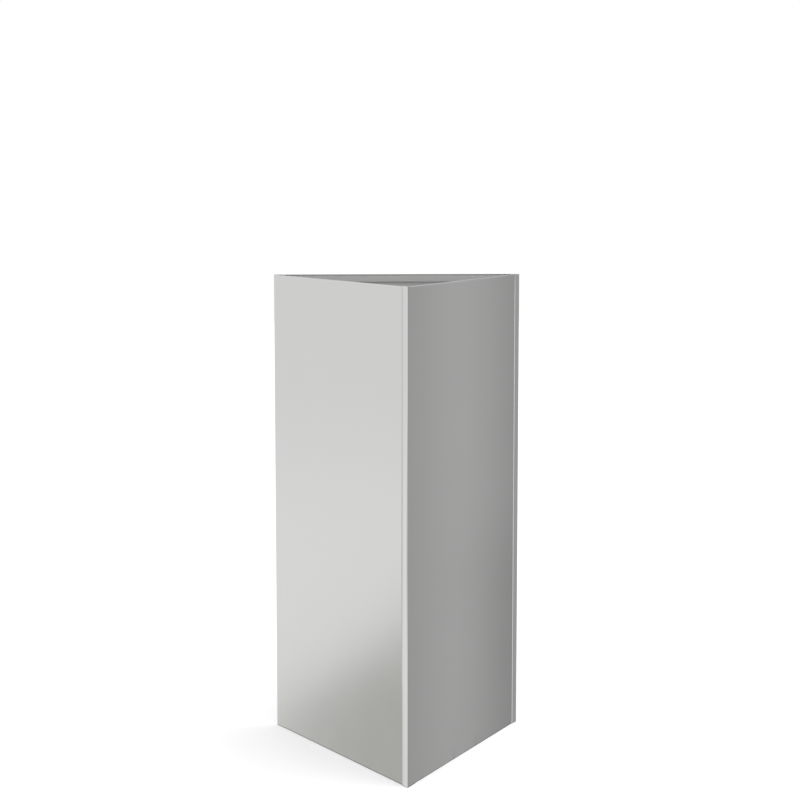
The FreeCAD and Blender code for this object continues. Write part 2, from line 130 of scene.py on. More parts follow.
class ShaderGraph:
    """The nodes of one material or world."""

    def __init__(self, owner: Union[bpy.types.Material, bpy.types.World]) -> None:
        """Empties the owner's node tree and starts on it.

        Args:
            owner: the material or the world.
        """
        owner.use_nodes = True
        self.owner = owner
        self.tree = owner.node_tree
        self.tree.nodes.clear()

    def node(
        self,
        kind: str,
        settings: Optional[Mapping[str, object]] = None,
        inputs: Optional[Mapping[Union[str, int], Term]] = None,
        output: Union[str, int] = 0,
    ) -> Optional[Field]:
        """Adds a node.

        Args:
            kind: the node's type.
            settings: its properties, set first; "stops" are a ramp's positions and colours.
            inputs: values for its sockets, or fields to link to them.
            output: the socket to carry on from.

        Returns:
            That socket as a field, or None where the node has no outputs.
        """
        made = self.tree.nodes.new(kind)
        for name, value in (settings or {}).items():
            if name == "stops":
                self._set_stops(made.color_ramp, value)
            else:
                setattr(made, name, value)
        for key, value in (inputs or {}).items():
            if isinstance(value, Field):
                self.tree.links.new(value.socket, made.inputs[key])
            else:
                made.inputs[key].default_value = value
        return Field(self, made.outputs[output]) if len(made.outputs) else None

    @staticmethod
    def _set_stops(ramp: bpy.types.ColorRamp, stops: Sequence[tuple[float, Colour]]) -> None:
        """Gives a ramp its stops.

        Args:
            ramp: the ramp.
            stops: each stop's position and colour.
        """
        while len(ramp.elements) < len(stops):
            ramp.elements.new(1.0)
        for element, (position, colour) in zip(ramp.elements, stops):
            element.position = position
            element.color = colour

    def mix(self, mask: Term, first: Term, second: Term) -> Field:
        """Blends two colours: the first where the mask is 0 and the second where it is 1."""
        return self.node("ShaderNodeMix", {"data_type": "RGBA"}, {0: mask, 6: first, 7: second}, 2)

    def toned(self, colour: Colour, change: Field) -> Field:
        """Makes a colour lighter or darker by a share of itself, up to half of it."""
        return self.mix(change + 0.5, shade(colour, 0.5), shade(colour, 1.5))

    def vector(self, operation: str, first: Term, second: Term, output: str = "Vector") -> Field:
        """Adds a Vector Math node over two vectors."""
        return self.node("ShaderNodeVectorMath", {"operation": operation}, {0: first, 1: second}, output)

    def noise(self, place: Field, pitch: Pitch, detail: float = 2.0, roughness: float = 0.5) -> Field:
        """Adds a cloudy noise.

        Args:
            place: where on the surface, in metres.
            pitch: the size of one cloud along each axis, in metres.
            detail: how many finer layers it has.
            roughness: how strong those layers are.

        Returns:
            The noise as a field, from -0.5 to 0.5.
        """
        inputs = {"Vector": self.vector("DIVIDE", place, pitch), "Scale": 1.0}
        inputs |= {"Detail": detail, "Roughness": roughness}
        return self.node("ShaderNodeTexNoise", {}, inputs) - 0.5

    def axes(self, place: Field) -> tuple[Field, Field, Field]:
        """Splits a vector into its three parts."""
        outputs = self.node("ShaderNodeSeparateXYZ", {}, {0: place}).socket.node.outputs
        return Field(self, outputs["X"]), Field(self, outputs["Y"]), Field(self, outputs["Z"])

    def local_place(self, origin: Matrix, turn: float) -> Field:
        """Where on the surface, in a frame of its own.

        Args:
            origin: a matrix whose place is the frame's origin.
            turn: the frame's heading in degrees.

        Returns:
            The place in metres.
        """
        inputs = {
            "Vector": self.node("ShaderNodeTexCoord", output="Object"),
            "Location": tuple(origin.translation),
            "Rotation": (0.0, 0.0, math.radians(turn)),
        }
        return self.node("ShaderNodeMapping", {"vector_type": "TEXTURE"}, inputs)

    def metal(
        self,
        colour: Term,
        roughness: Term,
        relief: Field,
        anisotropy: float = 0.0,
        bareness: Term = 1.0,
    ) -> None:
        """Ends a material as metal.

        Args:
            colour: its reflectance.
            roughness: how much it blurs what it reflects.
            relief: the height of its grain, in metres.
            anisotropy: how much more it blurs across the grain.
            bareness: 1 where the metal is bare, and less where a dull skin scatters the light.
        """
        normal = self.node("ShaderNodeBump", {}, {"Strength": 1.0, "Distance": 1.0, "Height": relief})
        inputs = {
            "Base Color": colour,
            "Metallic": bareness,
            "Roughness": roughness,
            "Anisotropic": anisotropy,
            "Normal": normal,
        }
        self.surface(self.node("ShaderNodeBsdfPrincipled", {}, inputs))

    def surface(self, shader: Field) -> None:
        """Ends a material with its surface shader."""
        self.node("ShaderNodeOutputMaterial", {}, {"Surface": shader})


def tint(red: float, green: float, blue: float) -> Colour:
    """An opaque colour."""
    return (red, green, blue, 1.0)


def grey(level: float) -> Colour:
    """An opaque grey, from 0 for black to 1 for white."""
    return tint(level, level, level)


def shade(colour: Colour, factor: float) -> Colour:
    """A colour made lighter or darker."""
    return tint(*(part * factor for part in colour[:3]))


# The plan


class Corner(Enum):
    """A corner of the plan: its word, the panel that wraps round it and that panel's heading in degrees."""

    FRONT = ("front", "panel_right", 60.0)
    RIGHT = ("right", "panel_rear", 180.0)
    LEFT = ("left", "panel_left", 300.0)

    def __init__(self, word: str, panel: str, heading: float) -> None:
        """Keeps what the corner is called and how its panel runs.

        Args:
            word: the corner's word in the names of pieces.
            panel: the CAD node of the panel that wraps round it.
            heading: where that panel's face runs to from the corner, in degrees.
        """
        self.word = word
        self.panel = panel
        self.heading = heading


def heading(degrees: float) -> Vector:
    """The level direction at an angle from the X axis."""
    return Vector((math.cos(math.radians(degrees)), math.sin(math.radians(degrees)), 0.0))


def left_of(direction: Vector) -> Vector:
    """The level direction a quarter turn to the left."""
    return Vector((-direction.y, direction.x, 0.0))


@dataclass(frozen=True)
class Plan:
    """The equilateral plan and the sheet that the panels are folded from."""

    side: float = 400 * MM
    height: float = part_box("panel_right")[1].z
    angle: float = 60.0
    sheet: float = 0.8 * MM
    strip_width: float = 16 * MM
    hem_inside: float = 0.6 * MM
    screw_inset: float = 9 * MM
    screw_end_inset: float = 60 * MM
    screw_count: int = 4

    @property
    def depth(self) -> float:
        """Front corner to rear face."""
        return self.side * math.cos(math.radians(self.angle / 2))

    @property
    def inradius(self) -> float:
        """Middle of the plan to each face."""
        return self.depth / 3

    @property
    def middle(self) -> Vector:
        """The middle of the plan, on the floor."""
        return Vector((0.0, self.depth / 6, 0.0))

    @property
    def seam(self) -> float:
        """A panel's sharp corner to the seam at its far end, along its face."""
        return self.side - self.strip_width

    @property
    def hem_bend(self) -> float:
        """Outside radius of the hem."""
        return self.hem_inside + self.sheet

    def corner_point(self, corner: Corner) -> Vector:
        """Finds a sharp corner of the plan.

        Args:
            corner: the corner.

        Returns:
            The corner's place on the floor.
        """
        ends = {
            Corner.FRONT: (0.0, -self.depth / 2),
            Corner.RIGHT: (self.side / 2, self.depth / 2),
            Corner.LEFT: (-self.side / 2, self.depth / 2),
        }
        return Vector((*ends[corner], 0.0))

    def panel_frame(self, corner: Corner) -> Matrix:
        """The frame of the panel that wraps round a corner: X along its face, Y inwards and Z up."""
        turn = Matrix.Rotation(math.radians(corner.heading), 4, "Z")
        return Matrix.Translation(self.corner_point(corner)) @ turn

    def screw_heights(self) -> list[float]:
        """The heights of the screws at each corner."""
        span = self.height - 2 * self.screw_end_inset
        return [self.screw_end_inset + span * k / (self.screw_count - 1) for k in range(self.screw_count)]

    def fastener_frame(self, corner: Corner, height: float) -> Matrix:
        """The frame of a screw: X along its axis from the seam towards its head, and Z up.

        Args:
            corner: the screw's corner.
            height: its height.

        Returns:
            The frame.
        """
        along = heading(corner.heading + self.angle)
        seat = self.corner_point(corner) + along * self.strip_width - left_of(along) * self.screw_inset
        turn = Matrix.Rotation(math.radians(corner.heading + self.angle), 4, "Z")
        return Matrix.Translation(seat + Vector((0.0, 0.0, height))) @ turn


PLAN = Plan()


# Finishes


@dataclass(frozen=True)
class SheetFinish:
    """Rolled stainless sheet: a fine grain along the rolling direction, soft clouds and a slight ripple.

    The lengths are in metres. A shade is a share of the colour, and a roughness is added to the sheet's own.
    """

    name: str
    colour: Colour
    roughness: float
    anisotropy: float = 0.35
    grain: Pitch = (0.35 * MM, 0.35 * MM, 70 * MM)
    grain_shade: float = 0.05
    grain_roughness: float = 0.05
    grain_depth: float = 0.0015 * MM
    cloud: Pitch = (110 * MM, 110 * MM, 110 * MM)
    cloud_shade: float = 0.03
    cloud_roughness: float = 0.05
    ripple: Pitch = (190 * MM, 190 * MM, 304 * MM)
    ripple_depth: float = 0.12 * MM
    inside_edge: Span = (0.16 * MM, 0.64 * MM)
    inside_roughness: float = 0.45
    inside_skin: float = 0.6
    fold_reach: float = 4 * MM
    painted_fold_highlight: float = 0.04
    fold_polish: float = 0.05
    seam_grime_and_shade: float = 0.14
    foot_grime_and_shade: float = 0.26
    grime_and_shade_height: Span = (100 * MM, 200 * MM)
    grime_and_shade_reach: Span = (-2.4 * MM, -0.6 * MM)
    smear: Pitch = (28 * MM, 28 * MM, 120 * MM)
    smear_roughness: float = 0.02
    scuff_height: float = 30 * MM
    scuff_patches: Span = (-0.05, 0.25)
    scuff_cover: float = 0.3
    scuff_tone: float = 0.88
    scuff_roughness: float = 0.08

    def material(self, corner: Corner) -> bpy.types.Material:
        """Makes the finish of the panel that wraps round a corner.

        Args:
            corner: the corner.

        Returns:
            The material, which follows the panel's own axes.
        """
        graph = ShaderGraph(bpy.data.materials.new(f"{self.name}_{corner.word}"))
        place = graph.local_place(PLAN.panel_frame(corner), corner.heading)
        along, inward, up = graph.axes(place)
        seam = along - PLAN.seam
        grain = graph.noise(place, self.grain, detail=3.0)
        cloud = graph.noise(place, self.cloud, detail=3.0)
        smear = graph.noise(place, self.smear, detail=4.0, roughness=0.6)
        ripple = graph.noise(place, self.ripple, detail=1.0)

        # The inside is duller up to the roll of the rim; behind the strip it lies within the next face
        slant = math.radians(PLAN.angle)
        behind_strip = along * math.sin(slant) - inward * math.cos(slant)
        roll = PLAN.height - PLAN.hem_bend
        inside = inward.least(behind_strip).rise(*self.inside_edge) * up.fall(roll - PLAN.sheet / 2, roll)

        # The folds are lightened, a painted highlight, and polished smoother: the corner, the seam, the rim
        # and the floor edge
        reach = self.fold_reach
        fold = abs(along).fall(0.0, reach).most(seam.rise(-reach, 0.0))
        fold = fold.most(up.fall(0.0, reach)).most(up.rise(PLAN.height - reach, PLAN.height))

        scuff = up.fall(0.0, self.scuff_height) * smear.rise(*self.scuff_patches)
        # Towards the seam the colour darkens, more towards the foot: painted shade in the seam's groove,
        # together with grime
        grime_and_shade = self.seam_grime_and_shade + up.fall(*self.grime_and_shade_height) * self.foot_grime_and_shade
        grime_and_shade = grime_and_shade * seam.rise(*self.grime_and_shade_reach)
        light = grain * self.grain_shade + cloud * self.cloud_shade + fold * self.painted_fold_highlight
        colour = graph.toned(self.colour, light)
        colour = graph.mix(scuff * self.scuff_cover, colour, shade(self.colour, self.scuff_tone))
        colour = graph.mix(grime_and_shade, colour, grey(0.0))
        rough = (
            self.roughness
            + cloud * self.cloud_roughness
            + smear * self.smear_roughness
            + grain * self.grain_roughness
            + inside * self.inside_roughness
            + scuff * self.scuff_roughness
            - fold * self.fold_polish
        )
        relief = ripple * self.ripple_depth + grain * self.grain_depth
        graph.metal(colour, rough, relief, self.anisotropy, 1.0 - inside * self.inside_skin)
        return graph.owner


@dataclass(frozen=True)
class FittingFinish:
    """Small stainless fittings, tumbled, stamped or turned: a fine grain along the fitting's own axes.

    The lengths are in metres, along the screws' axis and across it.
    """

    name: str
    colour: Colour
    roughness: float
    grain: Pitch = (0.25 * MM, 0.25 * MM, 0.25 * MM)
    grain_shade: float = 0.16
    grain_roughness: float = 0.1
    grain_depth: float = 0.004 * MM
    stain: Pitch = (2.5 * MM, 2.5 * MM, 2.5 * MM)
    stain_shade: float = 0.14
    stain_roughness: float = 0.15

    def material(self, corner: Corner) -> bpy.types.Material:
        """Makes the finish of the fittings at a corner.

        Args:
            corner: the corner, whose screws' axis the grain follows.

        Returns:
            The material.
        """
        graph = ShaderGraph(bpy.data.materials.new(f"{self.name}_{corner.word}"))
        place = graph.local_place(PLAN.fastener_frame(corner, 0.0), corner.heading + PLAN.angle)
        grain = graph.noise(place, self.grain, detail=3.0)
        stain = graph.noise(place, self.stain, detail=2.0)
        colour = graph.toned(self.colour, grain * self.grain_shade + stain * self.stain_shade)
        rough = self.roughness + stain * self.stain_roughness + grain * self.grain_roughness
        graph.metal(colour, rough, grain * self.grain_depth)
        return graph.owner


@dataclass(frozen=True)
class TrayFinish:
    """Plain rolled sheet with a cross-hatch of handling marks, and polished rings with a painted sheen round
    its punched holes.
    """

    name: str = "tray_rolled"
    colour: Colour = tint(0.57, 0.57, 0.56)
    roughness: float = 0.36
    anisotropy: float = 0.2
    grain: Pitch = (60 * MM, 0.5 * MM, 0.5 * MM)
    grain_shade: float = 0.07
    grain_depth: float = 0.002 * MM
    cloud: Pitch = (70 * MM, 70 * MM, 70 * MM)
    cloud_shade: float = 0.12
    cloud_roughness: float = 0.14
    mark: Pitch = (1.2 * MM, 24 * MM, 24 * MM)
    mark_patches: Span = (0.12, 0.28)
    mark_shade: float = 0.06
    mark_polish: float = 0.06
    punch_reach: Span = (0.48 * MM, 1.6 * MM)
    punch_painted_sheen: float = 0.08
    punch_polish: float = 0.14
    damp_reach: Span = (5.2 * MM, 13 * MM)
    damp_wander: float = 13 * MM
    damp_shade: float = 0.05
    damp_roughness: float = 0.07

    def material(self, holes: Sequence[tuple[Vector, float]]) -> bpy.types.Material:
        """Makes the tray's finish.

        Args:
            holes: the middle and the radius of each hole in the deck.

        Returns:
            The material.
        """
        graph = ShaderGraph(bpy.data.materials.new(self.name))
        place = graph.node("ShaderNodeTexCoord", output="Object")
        flat = graph.vector("MULTIPLY", place, (1.0, 1.0, 0.0))
        rims = [graph.vector("DISTANCE", flat, (*spot.xy, 0.0), "Value") - radius for spot, radius in holes]
        rim = reduce(Field.least, rims)
        grain = graph.noise(place, self.grain, detail=3.0)
        cloud = graph.noise(place, self.cloud, detail=4.0, roughness=0.6)
        marks = graph.noise(place, self.mark, detail=2.0).rise(*self.mark_patches)
        # Round each hole the sheet is polished smoother and lightened, a painted sheen
        punched = rim.fall(*self.punch_reach)
        damp = (rim + cloud * self.damp_wander).fall(*self.damp_reach) * (1.0 - punched)
        light = (
            grain * self.grain_shade
            + cloud * self.cloud_shade
            + marks * self.mark_shade
            + punched * self.punch_painted_sheen
            - damp * self.damp_shade
        )
        rough = (
            self.roughness
            + cloud * self.cloud_roughness
            - punched * self.punch_polish
            - marks * self.mark_polish
            + damp * self.damp_roughness
        )
        graph.metal(graph.toned(self.colour, light), rough, grain * self.grain_depth, self.anisotropy)
        return graph.owner


PANEL_FINISH = SheetFinish("panel_satin", tint(0.60, 0.60, 0.595), 0.15)
SCREW_FINISH = FittingFinish("screw_tumbled", tint(0.58, 0.57, 0.55), 0.28)
WASHER_FINISH = FittingFinish("washer_stamped", tint(0.63, 0.63, 0.61), 0.32, grain_shade=0.10)
NUT_FINISH = FittingFinish("nut_turned", tint(0.54, 0.53, 0.51), 0.30, grain=(0.10 * MM, 6 * MM, 6 * MM))
TRAY_FINISH = TrayFinish()


# Folded sheet


class Station(NamedTuple):
    """A point on the outer side of a folded sheet and the direction through the sheet."""

    point: Vector
    inward: Vector

    def moved(self, offset: Sequence[float]) -> "Station":
        """The station at another place."""
        return Station(self.point + Vector(offset), self.inward)


class SheetMesh:
    """A folded sheet in the making: pairs of points, one on each side, joined by faces."""

    def __init__(self, thickness: float) -> None:
        """Starts an empty sheet.

        Args:
            thickness: the sheet's thickness.
        """
        self.thickness = thickness
        self.mesh = bmesh.new()
        self.pairs: dict[Hashable, tuple[bmesh.types.BMVert, bmesh.types.BMVert]] = {}
        self.loops: list[tuple[Hashable, ...]] = []

    def pin(self, key: Hashable, station: Station) -> None:
        """Adds a pair of points."""
        inner = station.point + station.inward * self.thickness
        self.pairs[key] = (self.mesh.verts.new(station.point), self.mesh.verts.new(inner))

    def span(self, *keys: Hashable) -> None:
        """Joins pairs by a face on each side.

        Args:
            keys: the pairs' keys, anticlockwise round the outer side.
        """
        self.loops.append(keys)
        self.mesh.faces.new([self.pairs[key][0] for key in keys])
        self.mesh.faces.new([self.pairs[key][1] for key in reversed(keys)])

    def close(self) -> None:
        """Adds the narrow faces along the edges of the sheet and of its holes, and deletes loose points."""
        edges = dict.fromkeys(edge for loop in self.loops for edge in zip(loop, loop[1:] + loop[:1]))
        for start, end in edges:
            if (end, start) not in edges:
                (outer_start, inner_start), (outer_end, inner_end) = self.pairs[start], self.pairs[end]
                self.mesh.faces.new([outer_end, outer_start, inner_start, inner_end])
        loose = [vert for vert in self.mesh.verts if not vert.link_faces]
        bmesh.ops.delete(self.mesh, geom=loose, context="VERTS")


def mesh_object(name: str, mesh: bmesh.types.BMesh, sharp: float = 30.0) -> bpy.types.Object:
    """Turns a mesh in the making into a smooth-shaded object.

    Args:
        name: the object's name.
        mesh: the mesh, which is freed.
        sharp: the angle in degrees from which an edge stays sharp.

    Returns:
        The object, linked to the scene.
    """
    bmesh.ops.recalc_face_normals(mesh, faces=mesh.faces)
    data = bpy.data.meshes.new(name)
    mesh.to_mesh(data)
    mesh.free()
    data.shade_smooth()
    data.set_sharp_from_angle(angle=math.radians(sharp))
    made = bpy.data.objects.new(name, data)
    bpy.context.scene.collection.objects.link(made)
    return made


@dataclass
class FoldedPanel:
    """One wall: a face with a strip wrapped round its corner, two return flanges, a hem and a foot.

    The panel is drawn in its own frame, X along its face from the sharp corner, Y inwards and Z up.
    """

    corner: Corner
    bend_inside: float = 0.8 * MM
    overbend: float = 5.0
    return_depth: float = 16 * MM
    hem_depth: float = 12 * MM
    hem_start: float = 4 * MM
    flange_depth: float = 22 * MM
    flange_gap: float = 3 * MM
    relief_width: float = 0.5 * MM
    relief_height: float = 0.5 * MM
    screw_hole: float = 4.5 * MM
    nut_hole: float = 5.6 * MM
    hole_frame: float = 8 * MM
    deburr: float = 0.12 * MM
    deburr_angle: float = 50.0
    deburr_segments: int = 2
    bend_steps: int = 14
    hole_steps: int = 8
    columns: list[Station] = field(default_factory=list)

    @property
    def bend(self) -> float:
        """Outside radius of the bends."""
        return self.bend_inside + PLAN.sheet

    @property
    def fold_end(self) -> float:
        """Where the hem and the foot end, along the face."""
        return PLAN.seam - self.bend - 2 * self.relief_width

    @property
    def foot_start(self) -> float:
        """Where the foot starts, along the face, clear of the return flange.

        Returns:
            The distance from the sharp corner.
        """
        slant = math.radians(PLAN.angle)
        reach = (PLAN.strip_width + PLAN.sheet) * math.cos(slant) + self.return_depth * math.sin(slant)
        return reach + self.flange_gap

    @property
    def foot_mitre(self) -> float:
        """Where the mitred end of the foot meets its edge, along the face."""
        half = math.radians(PLAN.angle / 2)
        return (self.flange_depth * (1 + math.sin(half)) + self.flange_gap) / math.cos(half)

    def _bend(self, centre: Vector, before: float, after: float) -> list[Station]:
        """Walks round one bend.

        Args:
            centre: the bend's centre in the plan.
            before: the heading in degrees before it.
            after: the heading after it.

        Returns:
            The stations round it.
        """
        turns = [before + (after - before) * k / self.bend_steps for k in range(self.bend_steps + 1)]
        inwards = [left_of(heading(turn)) for turn in turns]
        return [Station(centre - inward * self.bend, inward) for inward in inwards]

    def _roll(self, centre: Vector, radius: float, turn: float) -> list[Station]:
        """Walks round the fold of the rim or of the foot.

        Args:
            centre: the fold's centre, across the face.
            radius: its outside radius.
            turn: how far it turns in degrees, positive at the foot.

        Returns:
            The stations round it.
        """
        steps = round(abs(turn) / 90 * self.bend_steps)
        angles = [math.radians(turn) * k / steps for k in range(steps + 1)]
        inwards = [Vector((0.0, math.cos(angle), math.sin(angle))) for angle in angles]
        return [Station(centre - inward * radius, inward) for inward in inwards]

    @staticmethod
    def _between(first: Station, last: Station, distances: Sequence[float]) -> list[Station]:
        """The stations at distances from the first of two stations on a flat stretch."""
        way = (last.point - first.point).normalized()
        return [first.moved(way * distance) for distance in distances]

    def plan_stations(self) -> tuple[list[Station], dict[str, int]]:
        """Walks the folded plan from the edge of one return flange to the edge of the other.

        Returns:
            The stations, and the numbers of those that edges, slots and holes start from.
        """
        strip_heading = PLAN.angle - self.overbend
        back = heading(strip_heading + 180)
        seam = heading(PLAN.angle) * PLAN.strip_width
        into = heading(PLAN.angle - 90)
        turns = (PLAN.angle + 90, strip_heading + 180, 360.0, 450.0)
        slide = math.tan(math.radians((turns[1] - turns[0]) / 2)) * self.bend
        excess = math.radians(self.overbend)
        proud = PLAN.strip_width * math.sin(excess) / math.sin(math.radians(strip_heading))
        fold_along = self.bend / math.tan(math.radians(strip_heading / 2)) - proud
        seam_bend = self._bend(seam + back * slide + left_of(back) * self.bend, turns[0], turns[1])
        corner_bend = self._bend(Vector((fold_along, self.bend, 0.0)), turns[1], turns[2])
        end_bend = self._bend(Vector((PLAN.seam - self.bend, self.bend, 0.0)), turns[2], turns[3])
        start = Station(seam + into * self.return_depth, seam_bend[0].inward)
        end = Station(Vector((PLAN.seam, self.return_depth, 0.0)), end_bend[-1].inward)

        hole = (PLAN.screw_inset - self.hole_frame / 2, PLAN.screw_inset + self.hole_frame / 2)
        nut_places = [self.return_depth - edge for edge in reversed(hole)]
        nut_marks = self._between(start, seam_bend[0], nut_places)
        face_marks = {
            "hem_slot": self.hem_start - self.relief_width,
            "hem_start": self.hem_start,
            "foot_slot": self.foot_start - self.relief_width,
            "foot_start": self.foot_start,
            "fold_end": self.fold_end,
            "slot_end": self.fold_end + self.relief_width,
        }
        face_from = corner_bend[-1].point.x
        face_places = [mark - face_from for mark in face_marks.values()]
        face = self._between(corner_bend[-1], end_bend[0], face_places)
        end_from = end_bend[-1].point.y
        screw_marks = self._between(end_bend[-1], end, [edge - end_from for edge in hole])

        stations = [start, *nut_marks, *seam_bend, *corner_bend, *face, *end_bend, *screw_marks, end]
        face_first = 1 + len(nut_marks) + len(seam_bend) + len(corner_bend)
        marks = {name: face_first + k for k, name in enumerate(face_marks)}
        marks["nut_hole"] = 1
        marks["screw_hole"] = len(stations) - 1 - len(screw_marks)
        return stations, marks

    def heights(self) -> list[float]:
        """Lists the heights of the grid's rows.

        Returns:
            The heights at which the panel's outline or its holes change.
        """
        low = self.bend + self.relief_height
        high = PLAN.height - PLAN.hem_bend - self.relief_height
        frames = [z + sign * self.hole_frame / 2 for z in PLAN.screw_heights() for sign in (-1, 1)]
        return [0.0, low, *frames, high, PLAN.height]

    def _hole(self, sheet: SheetMesh, column: int, row: int, diameter: float) -> None:
        """Fills one cell of the grid with a round hole and the flat sheet round it.

        Args:
            sheet: the sheet in the making.
            column: the number of the station that the cell starts from.
            row: the number of the height that it starts from.
            diameter: the hole's diameter.
        """
        corners = [(column, row), (column + 1, row), (column + 1, row + 1), (column, row + 1)]
        outers = [sheet.pairs[key][0].co for key in corners]
        middle = sum(outers, Vector()) / len(outers)
        across = (outers[1] - outers[0]).normalized()
        inward = self.columns[column].inward
        count = len(corners) * self.hole_steps
        rim = [(column, row, k) for k in range(count)]

        # The rim starts towards the cell's first corner
        for k, key in enumerate(rim):
            turn = math.tau * (k / count - 3 / 8)
            spoke = across * math.cos(turn) + Vector((0.0, 0.0, math.sin(turn)))
            sheet.pin(key, Station(middle + spoke * diameter / 2, inward))
        for number, corner in enumerate(corners):
            quarter = [rim[(number * self.hole_steps + k) % count] for k in range(self.hole_steps + 1)]
            sheet.span(corner, corners[(number + 1) % len(corners)], *reversed(quarter))

    @staticmethod
    def _fold_strip(sheet: SheetMesh, rows: Sequence[Sequence[Hashable]], downwards: bool) -> None:
        """Joins the rows of a hem or a foot by faces.

        Args:
            sheet: the sheet in the making.
            rows: the keys of each row, from the corner on.
            downwards: whether each row lies below the one before it on the outer side.
        """
        for row, after in zip(rows, rows[1:]):
            for k in range(len(row) - 1):
                loop = (row[k], row[k + 1], after[k + 1], after[k])
                sheet.span(*(reversed(loop) if downwards else loop))

    def _foot(self, sheet: SheetMesh, marks: Mapping[str, int]) -> None:
        """Folds the foot inwards along the floor, with mitred ends.

        Args:
            sheet: the sheet in the making.
            marks: the numbers of the stations where the foot starts and ends.
        """
        rows: list[list[Hashable]] = [[(marks["foot_start"], 1), (marks["fold_end"], 1)]]
        rolled = self._roll(Vector((0.0, self.bend, self.bend)), self.bend, 90.0)
        flange = Station(Vector((0.0, self.flange_depth, 0.0)), Vector((0.0, 0.0, 1.0)))
        profile = [(station, self.foot_start, self.fold_end) for station in rolled]
        profile.append((flange, self.foot_mitre, PLAN.side - self.foot_mitre))
        for k, (station, *ends) in enumerate(profile):
            rows.append([("foot", 0, k), ("foot", 1, k)])
            for key, along in zip(rows[-1], ends):
                sheet.pin(key, station.moved((along, 0.0, 0.0)))
        self._fold_strip(sheet, rows, downwards=True)

    def _hem(self, sheet: SheetMesh, marks: Mapping[str, int], top: int) -> None:
        """Folds the rim inwards and down into an open hem.

        Args:
            sheet: the sheet in the making.
            marks: the numbers of the stations where the hem starts and ends.
            top: the number of the height that the hem starts from.
        """
        columns = range(marks["hem_start"], marks["fold_end"] + 1)
        rows: list[list[Hashable]] = [[(column, top) for column in columns]]
        centre = Vector((0.0, PLAN.hem_bend, PLAN.height - PLAN.hem_bend))
        profile = self._roll(centre, PLAN.hem_bend, -180.0)
        leaf_edge = Vector((0.0, 2 * PLAN.hem_bend, PLAN.height - self.hem_depth))
        profile.append(Station(leaf_edge, profile[-1].inward))
        for k, station in enumerate(profile):
            rows.append([("hem", column, k) for column in columns])
            for key, column in zip(rows[-1], columns):
                sheet.pin(key, station.moved((self.columns[column].point.x, 0.0, 0.0)))
        self._fold_strip(sheet, rows, downwards=False)

    def build(self) -> bpy.types.Object:
        """Folds the panel.

        Returns:
            The panel's object, in place, riding on the shell and standing for its CAD node.
        """
        self.columns, marks = self.plan_stations()
        heights = self.heights()
        sheet = SheetMesh(PLAN.sheet)
        for column, station in enumerate(self.columns):
            for row, height in enumerate(heights):
                sheet.pin((column, row), station.moved((0.0, 0.0, height)))
        top = len(heights) - 2
        open_cells = {(column, 0) for column in range(marks["foot_slot"], marks["slot_end"])}
        open_cells |= {(column, top) for column in range(marks["hem_slot"], marks["slot_end"])}

        # Above the foot and the first plain row, every second row frames a hole
        hole_rows = range(2, top, 2)
        holes = {(marks["nut_hole"], row): self.nut_hole for row in hole_rows}
        holes |= {(marks["screw_hole"], row): self.screw_hole for row in hole_rows}
        for column in range(len(self.columns) - 1):
            for row in range(len(heights) - 1):
                if (column, row) in holes:
                    self._hole(sheet, column, row, holes[column, row])
                elif (column, row) not in open_cells:
                    sheet.span((column, row), (column + 1, row), (column + 1, row + 1), (column, row + 1))
        self._foot(sheet, marks)
        self._hem(sheet, marks, top)
        sheet.close()
        sheet.mesh.transform(PLAN.panel_frame(self.corner))
        made = mesh_object(f"{self.corner.panel}_sheet", sheet.mesh)
        edge = made.modifiers.new("deburred_edge", "BEVEL")
        edge.width = self.deburr
        edge.segments = self.deburr_segments
        edge.limit_method = "ANGLE"
        edge.angle_limit = math.radians(self.deburr_angle)
        flats = made.modifiers.new("flat_faces", "WEIGHTED_NORMAL")
        flats.keep_sharp = True
        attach(made, "shell")
        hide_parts(self.corner.panel)
        return made

    def dress(self, panel: bpy.types.Object) -> None:
        """Gives the panel its satin finish."""
        panel.data.materials.append(PANEL_FINISH.material(self.corner))


# Fasteners


RingRadius = Callable[[float], float]
Ring = tuple[float, RingRadius]


def round_rings(*outline: Span) -> list[Ring]:
    """Round rings, from their places on the axis and their radii."""
    return [(along, lambda angle, radius=radius: radius) for along, radius in outline]


def hexagon_at(flats: float) -> RingRadius:
    """A hexagonal ring's radius, from its width across the flats."""
    side = math.tau / 6
    return lambda angle: flats / 2 / math.cos(angle % side - side / 2)


def turned(rings: Sequence[Ring], steps: int, hollow: bool) -> bmesh.types.BMesh:
    """Turns rings round the X axis into a closed mesh.

    Args:
        rings: each ring's place on the axis and its radius by angle.
        steps: the points on each ring.
        hollow: whether the last ring joins the first, or both ends are filled.

    Returns:
        The mesh.
    """
    mesh = bmesh.new()
    angles = [math.tau * k / steps for k in range(steps)]
    loops = []
    for along, radius in rings:
        spokes = [(radius(angle), angle) for angle in angles]
        loops.append([mesh.verts.new((along, r * math.cos(a), r * math.sin(a))) for r, a in spokes])
    nexts = loops[1:] + loops[:1] if hollow else loops[1:]
    for first, second in zip(loops, nexts):
        for k in range(steps):
            after = (k + 1) % steps
            mesh.faces.new([first[k], first[after], second[after], second[k]])
    if not hollow:
        mesh.faces.new(loops[0])
        mesh.faces.new(loops[-1])
    return mesh


class FastenerKind(Enum):
    """A kind of fastener, with its CAD node's word, its material slot and its finish."""

    SCREW = ("screws", "screw_stainless", SCREW_FINISH)
    WASHER = ("washers", "washer_stainless", WASHER_FINISH)
    NUT = ("nuts", "nut_stainless", NUT_FINISH)

    def __init__(self, word: str, slot: str, finish: FittingFinish) -> None:
        """Keeps what the kind is called and how it is finished.

        Args:
            word: the kind's word in the names of pieces.
            slot: the record's material slot, which is not used.
            finish: the kind's finish.
        """
        self.word = word
        self.slot = slot
        self.finish = finish


